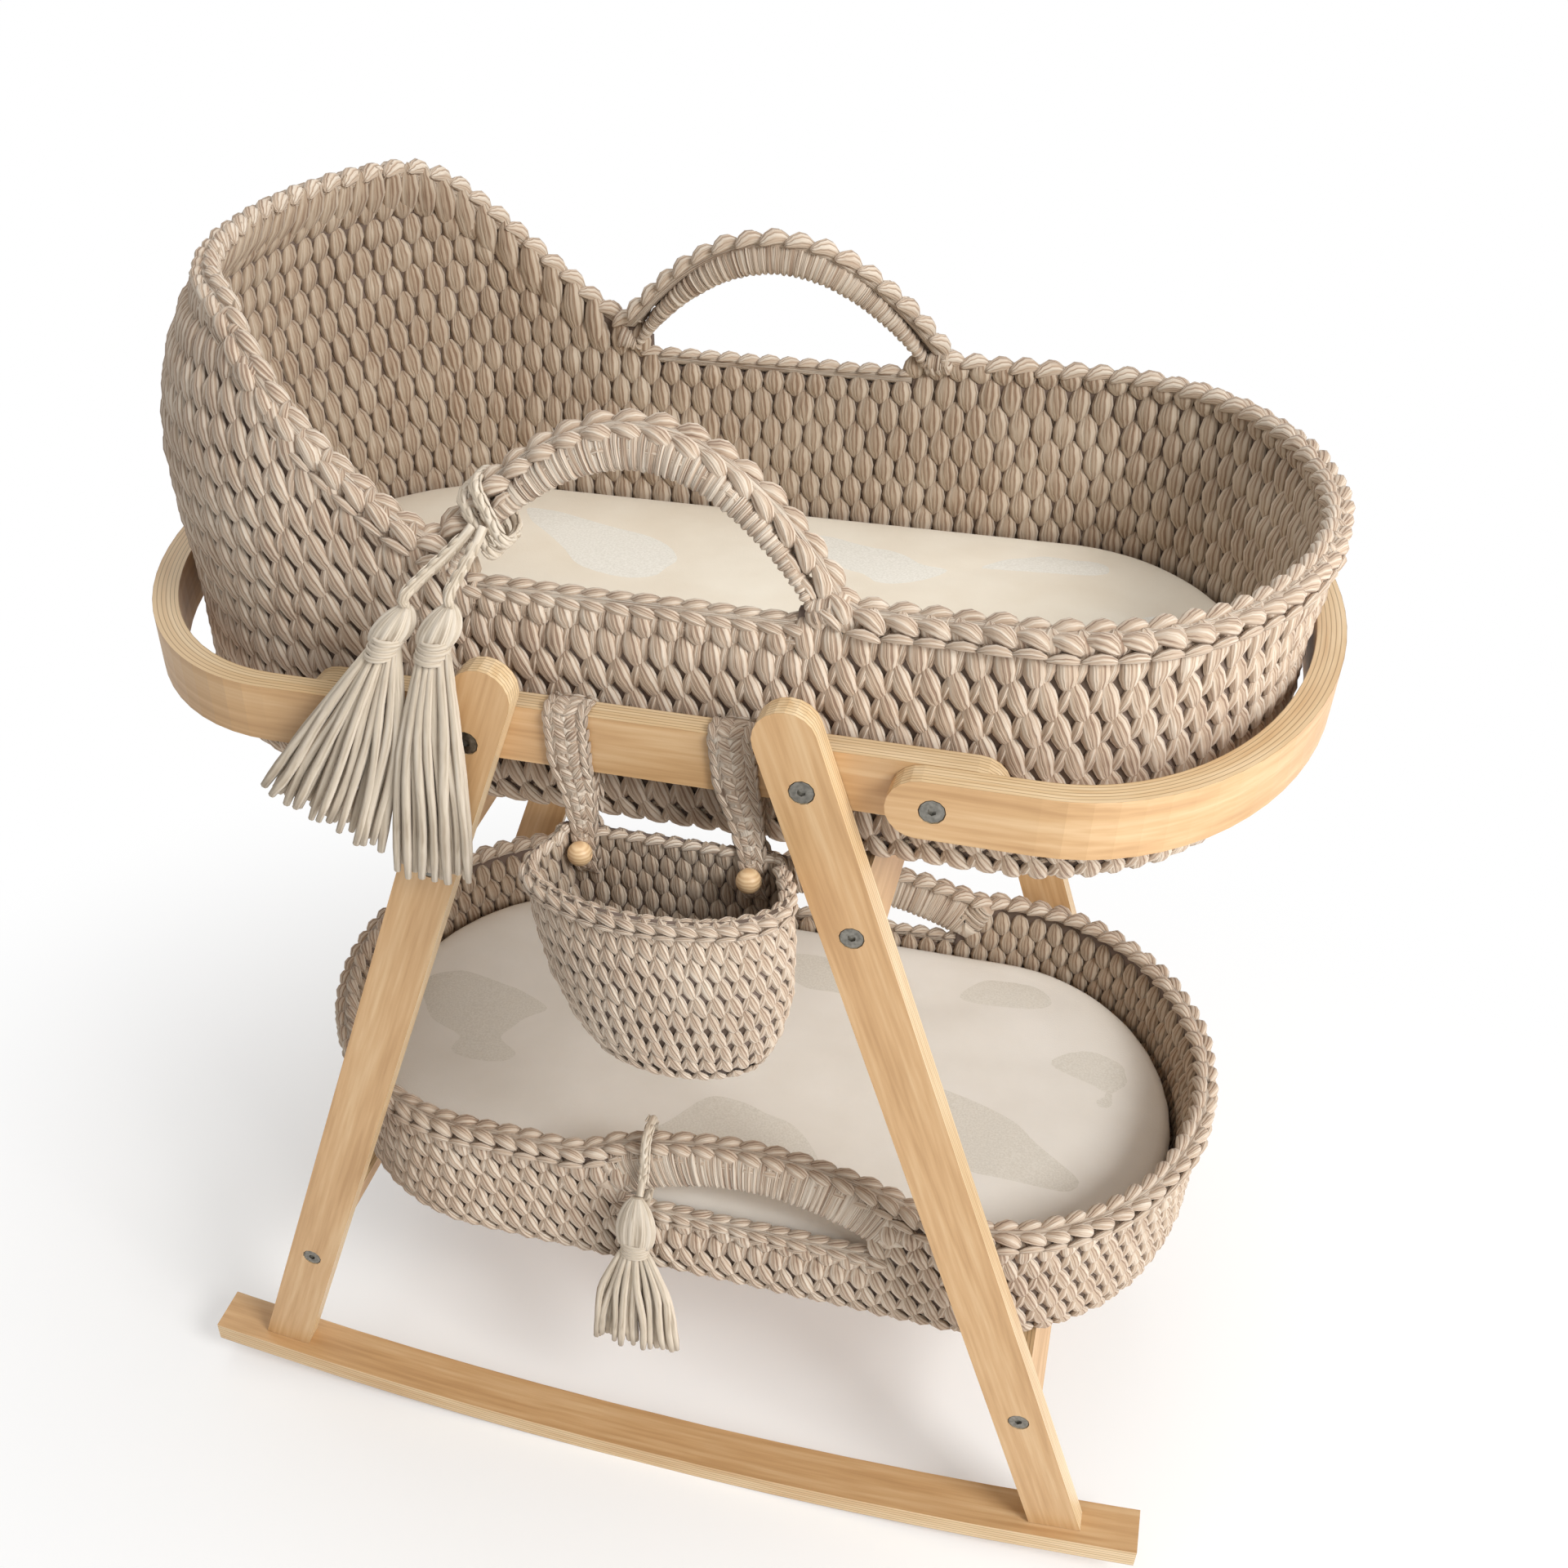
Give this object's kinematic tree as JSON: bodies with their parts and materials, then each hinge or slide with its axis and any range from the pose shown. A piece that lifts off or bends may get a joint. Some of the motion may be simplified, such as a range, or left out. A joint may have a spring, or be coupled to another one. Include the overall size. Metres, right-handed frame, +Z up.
{
  "type": "hanging baby cradle",
  "caption": "Bolted birch plywood rocking stand with an oval hooded crochet cradle basket in its top ring, a low changing basket on its lower bars, and a small pocket basket on its rail",
  "frame": {"origin": "On the floor, under the middle of the whole object's outer box. The stand's middle plane lies behind the origin, because the pocket stands out in front.", "axes": "+X points from the hood end to the foot end, +Y from the front, where the pocket and tassels hang, to the rear, and +Z up."},
  "size_m": [0.808, 0.5716, 0.934],
  "materials": {
    "birch_plywood": "clear satin lacquer over birch plywood, with its layers bare on the edges",
    "steel_fasteners": "dull grey zinc-plated steel",
    "crochet_cotton": "thick matte cotton tape yarn, crocheted",
    "tassel_cotton": "matte cotton tape yarn, loose strands",
    "sheet_cotton": "smooth matte cotton jersey",
    "mattress_foam": "soft foam core in a thin cover",
    "bead_wood": "bare pale wood"
  },
  "bodies": {
    "stand": {"leg_front_foot": "birch_plywood", "leg_front_head": "birch_plywood", "leg_rear_foot": "birch_plywood", "leg_rear_head": "birch_plywood", "lower_bar_bolt_front_foot": "steel_fasteners", "lower_bar_bolt_front_head": "steel_fasteners", "lower_bar_bolt_rear_foot": "steel_fasteners", "lower_bar_bolt_rear_head": "steel_fasteners", "lower_crossbar_foot": "birch_plywood", "lower_crossbar_head": "birch_plywood", "rail_bolt_front_foot": "steel_fasteners", "rail_bolt_front_head": "steel_fasteners", "rail_bolt_rear_foot": "steel_fasteners", "rail_bolt_rear_head": "steel_fasteners", "ring_bend_foot": "birch_plywood", "ring_bend_head": "birch_plywood", "ring_bolt_front_foot": "steel_fasteners", "ring_bolt_front_head": "steel_fasteners", "ring_bolt_rear_foot": "steel_fasteners", "ring_bolt_rear_head": "steel_fasteners", "rocker_front": "birch_plywood", "rocker_rear": "birch_plywood", "rocker_screw_front_foot": "steel_fasteners", "rocker_screw_front_head": "steel_fasteners", "rocker_screw_rear_foot": "steel_fasteners", "rocker_screw_rear_head": "steel_fasteners", "side_rail_front": "birch_plywood", "side_rail_rear": "birch_plywood", "upper_bar_bolt_front_foot": "steel_fasteners", "upper_bar_bolt_front_head": "steel_fasteners", "upper_bar_bolt_rear_foot": "steel_fasteners", "upper_bar_bolt_rear_head": "steel_fasteners", "upper_crossbar_foot": "birch_plywood", "upper_crossbar_head": "birch_plywood"},
    "upper_basket": {"upper_basket_wall": "crochet_cotton", "upper_base_board": "birch_plywood", "upper_handle_front": "crochet_cotton", "upper_handle_rear": "crochet_cotton", "upper_tassel_tie": "tassel_cotton"},
    "upper_mattress": {"upper_mattress_core": "mattress_foam", "upper_fitted_sheet": "sheet_cotton"},
    "upper_tassel_a": {"upper_tassel_a": "tassel_cotton", "upper_tassel_cord_a": "tassel_cotton"},
    "upper_tassel_b": {"upper_tassel_b": "tassel_cotton", "upper_tassel_cord_b": "tassel_cotton"},
    "lower_basket": {"lower_basket_wall": "crochet_cotton", "lower_base_board": "birch_plywood", "lower_handle_front": "crochet_cotton", "lower_handle_rear": "crochet_cotton", "lower_tassel_cord": "tassel_cotton"},
    "lower_mattress": {"lower_mattress_core": "mattress_foam", "lower_fitted_sheet": "sheet_cotton"},
    "lower_tassel": {"lower_tassel": "tassel_cotton"},
    "pocket": {"pocket_basket": "crochet_cotton", "pocket_strap_head": "crochet_cotton", "pocket_strap_foot": "crochet_cotton", "pocket_bead_head": "bead_wood", "pocket_bead_foot": "bead_wood"}
  },
  "joints": [
    {"name": "upper_basket_lift", "type": "slide", "parent": "stand", "child": "upper_basket", "axis": [0, 0, 1], "range_m": [0, 0.25]},
    {"name": "upper_mattress_lift", "type": "slide", "parent": "upper_basket", "child": "upper_mattress", "axis": [0, 0, 1], "range_m": [0, 0.12]},
    {"name": "upper_tassel_a_swing", "type": "hinge", "parent": "upper_basket", "child": "upper_tassel_a", "pos_m": [-0.1033, -0.1794, 0.827], "axis": [-1, 0, 0], "range_deg": [0, 35]},
    {"name": "upper_tassel_b_swing", "type": "hinge", "parent": "upper_basket", "child": "upper_tassel_b", "pos_m": [-0.0967, -0.1794, 0.827], "axis": [-1, 0, 0], "range_deg": [0, 35]},
    {"name": "lower_basket_out", "type": "slide", "parent": "stand", "child": "lower_basket", "axis": [0.9348, 0, 0.3552], "range_m": [0, 0.8]},
    {"name": "lower_mattress_lift", "type": "slide", "parent": "lower_basket", "child": "lower_mattress", "axis": [0, 0, 1], "range_m": [0, 0.02]},
    {"name": "lower_tassel_swing", "type": "hinge", "parent": "lower_basket", "child": "lower_tassel", "pos_m": [-0.013, -0.1854, 0.291], "axis": [-1, 0, 0], "range_deg": [0, 35]},
    {"name": "pocket_slide", "type": "slide", "parent": "stand", "child": "pocket", "axis": [1, 0, 0], "range_m": [-0.012, 0.003]}
  ]
}
